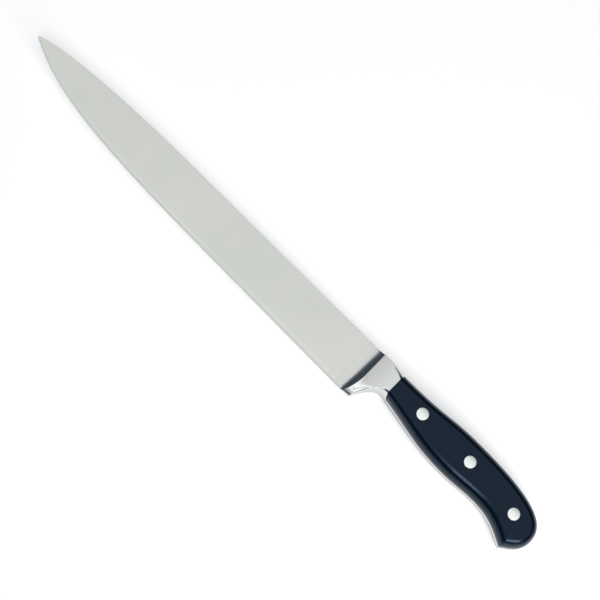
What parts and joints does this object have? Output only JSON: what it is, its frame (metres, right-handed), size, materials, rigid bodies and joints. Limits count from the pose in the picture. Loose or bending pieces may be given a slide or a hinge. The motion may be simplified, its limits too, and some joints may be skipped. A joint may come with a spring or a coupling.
{
  "type": "carving knife",
  "caption": "Forged carving knife with a long pointed blade, a full bolster and a riveted black handle with a hooked butt, for slicing meat.",
  "frame": {"origin": "centre of the bottom of the outer box, with the knife lying on its right side", "axes": "+X along the knife from the tip to the butt, +Y from the cutting edge to the back of the blade, +Z out of the left side of the blade"},
  "size_m": [0.3806, 0.0332, 0.019],
  "materials": {
    "blank_steel": "satin ground blade, finely polished bolster and tang",
    "scale_plastic": "smooth moulded, semi-gloss blue-black",
    "rivet_metal": "turned and ground flush with the scales, bright"
  },
  "bodies": {
    "root": {"forged_blank": "blank_steel", "left_scale": "scale_plastic", "right_scale": "scale_plastic", "front_rivet_tube": "rivet_metal", "front_rivet_pin": "rivet_metal", "middle_rivet_tube": "rivet_metal", "middle_rivet_pin": "rivet_metal", "rear_rivet_tube": "rivet_metal", "rear_rivet_pin": "rivet_metal"}
  },
  "joints": []
}
